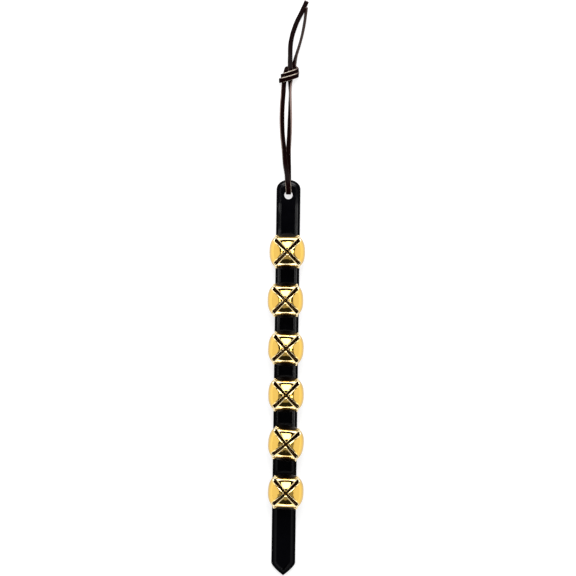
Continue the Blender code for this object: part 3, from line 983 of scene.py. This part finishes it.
def skin_angles():
    """The rows' elevation angles: those below the slots, and those that the slots cut through."""
    end_half = SLOT_WIDTH_AT_END / 2
    whole = evenly(BELL_BASE_ANGLE, NEAR_SLOT_ANGLE, BOWL_ROWS)
    whole += evenly(NEAR_SLOT_ANGLE, SLOT_END_ANGLE, NEAR_SLOT_ROWS)
    whole.append(SLOT_END_ANGLE)
    cut = []
    for i in range(1, ROUND_END_ROWS + 1):
        rise = end_half * (1 - math.cos(QUARTER * i / ROUND_END_ROWS))
        cut.append(SLOT_END_ANGLE + rise / BELL_HALF_HEIGHT)
    tips = []
    for i in range(1, TIP_ROWS + 1):
        left = TIP_ROLL * (1 - math.sin(QUARTER * i / TIP_ROWS))
        tips.append(PETAL_TIP_ANGLE - left / BELL_RADIUS)
    cut += evenly(cut[-1], tips[0], PETAL_ROWS)[1:]
    return whole, cut + tips


def bell_skin(seed):
    """The bell's outer skin: a bowl below, four petals above, and a hole for the rivet."""
    bm = bmesh.new()
    for name in ("painted_highlight", "painted_shade"):
        bm.verts.layers.float.new(name)
    layers = {name: bm.verts.layers.float[name] for name in ("painted_highlight", "painted_shade")}
    whole_angles, cut_angles = skin_angles()
    shares = petal_shares(SLOT_END_ANGLE)
    reach = petal_reach(SLOT_END_ANGLE)
    turns = [petal * QUARTER + reach * share for petal in range(PETALS) for share in shares[:-1]]
    rings = []
    # The two rings round the rivet carry full painted shade
    for radius in (SHANK_RADIUS + GAP, BASE_RING_RADIUS):
        ring = add_ring(bm, [(radius * math.cos(t), radius * math.sin(t), BELL_BASE_Z) for t in turns])
        for vert in ring:
            vert[layers["painted_shade"]] = 1.0
        rings.append(ring)
    for angle in whole_angles:
        ring = []
        for petal in range(PETALS):
            ring += skin_row(bm, angle, shares[:-1], petal, seed, layers)
        rings.append(ring)
    for lower, upper in zip(rings, rings[1:]):
        bridge(bm, lower, upper)
    top = rings[-1]
    count = len(shares) - 1
    for petal in range(PETALS):
        lower = [top[(petal * count + i) % len(top)] for i in range(count + 1)]
        for angle in cut_angles:
            upper = skin_row(bm, angle, petal_shares(angle), petal, seed, layers)
            bridge(bm, lower, upper, closed=False)
            lower = upper
    return bm


def make_bell(number, place, brass, inside):
    """A bell's skin with its wall behind it, set on the strap and turned a little on its rivet."""
    bell = mesh_object(f"bell_{number}_brass", bell_skin(number), [brass, inside], sharp_degrees=60.0)
    wall = bell.modifiers.new("wall", "SOLIDIFY")
    wall.thickness = BELL_WALL
    wall.offset = -1.0
    wall.use_even_offset = False
    wall.material_offset = 1
    wall.material_offset_rim = 0
    turn = Matrix.Rotation(-math.radians(BELL_TURNS[number - 1]), 4, "Z")
    seat_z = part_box(f"bell_{number}_shell")[0].z
    bell.matrix_world = Matrix.Translation((place.x, place.y, seat_z - BELL_BASE_Z)) @ turn
    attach(bell, f"bell_{number}")
    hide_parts(f"bell_{number}_shell")


# Rivets, burrs and pellets


def make_rivet(number, place, material):
    """A rivet with a low domed head inside the bell, its tail hammered over behind the strap."""
    head_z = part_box(f"bell_{number}_rivet")[1].z - RIVET_HEAD_HEIGHT
    tail_top = RIVET_TAIL_Z + PEENED_HEIGHT
    dome = []
    for degrees in HEAD_DOME_DEGREES:
        angle = math.radians(degrees)
        rise = HEAD_RIM_HEIGHT + (RIVET_HEAD_HEIGHT - HEAD_RIM_HEIGHT) * math.cos(angle)
        dome.append((RIVET_HEAD_RADIUS * math.sin(angle), head_z + rise))
    tail = [(share * PEENED_RADIUS, RIVET_TAIL_Z + rise * MM) for share, rise in TAIL_SECTION]
    profile = [
        *tail,
        (SHANK_RADIUS, tail_top),
        (SHANK_RADIUS, head_z),
        (HEAD_UNDERSIDE_RADIUS, head_z),
        (RIVET_HEAD_RADIUS, head_z + HEAD_CHAMFER_HEIGHT),
        *dome,
    ]
    bm = turned(profile, TURNED_SIDES)
    for vert in bm.verts:
        if vert.co.z < tail_top and vert.co.xy.length > HAMMER_START_RADIUS:
            blow = waves(vert.co * HAMMER_WAVES_PER_METRE, number * HAMMER_SEED_STEP)
            vert.co.xy *= 1 + HAMMER_WAVE * blow
    rivet = mesh_object(f"bell_{number}_rivet_turned", bm, [material])
    rivet.location = (place.x, place.y, 0)
    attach(rivet, "strap")
    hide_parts(f"bell_{number}_rivet")


def make_burr(number, place, material):
    """The rivet's burr: a washer with rounded edges."""
    low = RIVET_TAIL_Z + PEENED_HEIGHT + GAP
    high = low + BURR_HEIGHT
    inner = SHANK_RADIUS + GAP
    corners = ((inner, low), (BURR_RADIUS, low), (BURR_RADIUS, high), (inner, high))
    profile = []
    for i, corner in enumerate(corners):
        profile += rounded(corner, corners[i - 1], corners[(i + 1) % len(corners)], BURR_ROUNDING)
    bm = turned(profile, TURNED_SIDES, closed=True)
    burr = mesh_object(f"bell_{number}_burr_washer", bm, [material])
    burr.location = (place.x, place.y, 0)
    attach(burr, "strap")
    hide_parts(f"bell_{number}_burr")


def make_pellet(number, material):
    """A tumbled steel shot: near round, with the dents and flats of its casting."""
    low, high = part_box(f"bell_{number}_pellet")
    middle = (low + high) / 2
    radius = (high.z - low.z) / 2
    bm = bmesh.new()
    bmesh.ops.create_icosphere(bm, subdivisions=4, radius=radius)
    for vert in bm.verts:
        way = vert.co.normalized()
        dent = waves(way * PELLET_DENT_SCALE, number * PELLET_SEED_STEP)
        flat = max(abs(way.x), abs(way.y), abs(way.z)) - PELLET_FLAT_START
        vert.co = way * (radius + PELLET_DENT * min(dent, 0) - PELLET_FLAT * max(flat, 0))
    pellet = mesh_object(f"bell_{number}_shot", bm, [material])
    pellet.location = middle
    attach(pellet, f"pellet_{number}")
    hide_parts(f"bell_{number}_pellet")


# Studio


def make_camera():
    """The camera looks straight down, so it needs no tilt."""
    data = bpy.data.cameras.new("camera")
    data.lens = CAMERA_LENS
    data.sensor_width = CAMERA_SENSOR
    camera = link(bpy.data.objects.new("camera", data))
    camera.location = CAMERA_PLACE
    camera.rotation_euler = (0, 0, CAMERA_TURN)
    bpy.context.scene.camera = camera


def make_floor():
    """A table that is lit to plain white, with only a faint shade under the bells."""
    bm = bmesh.new()
    signs = ((-1, -1), (1, -1), (1, 1), (-1, 1))
    corners = [(x * FLOOR_HALF_SIZE, y * FLOOR_HALF_SIZE, FLOOR_Z) for x, y in signs]
    bm.faces.new(add_ring(bm, corners))
    material, shader = new_material("white_table")
    shader.inputs["Base Color"].default_value = (FLOOR_GREY, FLOOR_GREY, FLOOR_GREY, 1.0)
    shader.inputs["Roughness"].default_value = FLOOR_ROUGHNESS
    shader.inputs["Emission Color"].default_value = (1.0, 1.0, 1.0, 1.0)
    shader.inputs["Emission Strength"].default_value = FLOOR_GLOW
    mesh_object("table_top", bm, [material])


def make_softbox(name, place, target, size, radiance):
    """A rectangular lamp that faces a point and that the camera itself doesn't see."""
    data = bpy.data.lights.new(name, "AREA")
    data.shape = "RECTANGLE"
    data.size, data.size_y = size
    data.energy = radiance * math.pi * size[0] * size[1]
    softbox = link(bpy.data.objects.new(name, data))
    softbox.location = place
    aim = Vector(target) - Vector(place)
    softbox.rotation_euler = aim.to_track_quat("-Z", "Y").to_euler()
    softbox.visible_camera = False


def make_studio_walls():
    """A studio that is dim overhead, in which the camera itself sees plain white.

    It is white to both sides and along the horizon, and brighter towards the strap's two ends. A
    dimmer panel stands high up beyond the strap's pointed end.
    """
    world = bpy.data.worlds.new("studio")
    bpy.context.scene.world = world
    world.use_nodes = True
    tree = world.node_tree
    tree.nodes.clear()
    direction = tree.nodes.new("ShaderNodeTexCoord")
    split = tree.nodes.new("ShaderNodeSeparateXYZ")
    tree.links.new(direction.outputs["Generated"], split.inputs[0])

    def maths(operation, first, second=0.0):
        node = tree.nodes.new("ShaderNodeMath")
        node.operation = operation
        for socket, value in zip(node.inputs, (first, second)):
            if isinstance(value, float):
                socket.default_value = value
            else:
                tree.links.new(value, socket)
        return node.outputs[0]

    def ramp(value, start_and_full):
        start, full = start_and_full
        node = tree.nodes.new("ShaderNodeMapRange")
        node.interpolation_type = "SMOOTHSTEP"
        tree.links.new(value, node.inputs["Value"])
        node.inputs["From Min"].default_value = start
        node.inputs["From Max"].default_value = full
        return node.outputs["Result"]

    x, y, z = split.outputs
    sides = ramp(maths("ABSOLUTE", x), SIDE_RAMP_X)
    ends = maths("MULTIPLY", ramp(maths("ABSOLUTE", y), END_RAMP_Y), END_GAIN)
    horizon = maths("MULTIPLY", ramp(z, HORIZON_RAMP_Z), maths("ADD", ends, 1.0))
    panel = maths("MULTIPLY", ramp(y, PANEL_RAMP_Y), ramp(z, PANEL_LOW_RAMP_Z))
    panel = maths("MULTIPLY", panel, ramp(z, PANEL_HIGH_RAMP_Z))
    bright = maths("MAXIMUM", sides, horizon)
    bright = maths("MAXIMUM", bright, maths("MULTIPLY", panel, PANEL_GLOW))
    bright = maths("MAXIMUM", bright, DIM_GLOW)
    camera_ray = tree.nodes.new("ShaderNodeLightPath").outputs["Is Camera Ray"]
    shown = maths("MAXIMUM", bright, camera_ray)
    background = tree.nodes.new("ShaderNodeBackground")
    background.inputs["Color"].default_value = (1.0, 1.0, 1.0, 1.0)
    tree.links.new(shown, background.inputs["Strength"])
    output = tree.nodes.new("ShaderNodeOutputWorld")
    tree.links.new(background.outputs[0], output.inputs[0])


def make_studio():
    bpy.context.scene.view_settings.view_transform = "Standard"
    make_floor()
    make_studio_walls()
    for softbox in SOFTBOXES:
        make_softbox(*softbox)


def main():
    make_camera()
    make_lace(lace_leather())
    shells = [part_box(f"bell_{number}_shell") for number in BELLS]
    places = [(low + high) / 2 for low, high in shells]
    make_strap(strap_leather(), places)
    brass = bell_brass()
    inside = bell_inside()
    rivets = rivet_brass()
    steel = pellet_steel()
    for number, place in zip(BELLS, places):
        make_bell(number, place, brass, inside)
        make_rivet(number, place, rivets)
        make_burr(number, place, rivets)
        make_pellet(number, steel)
    make_studio()


main()
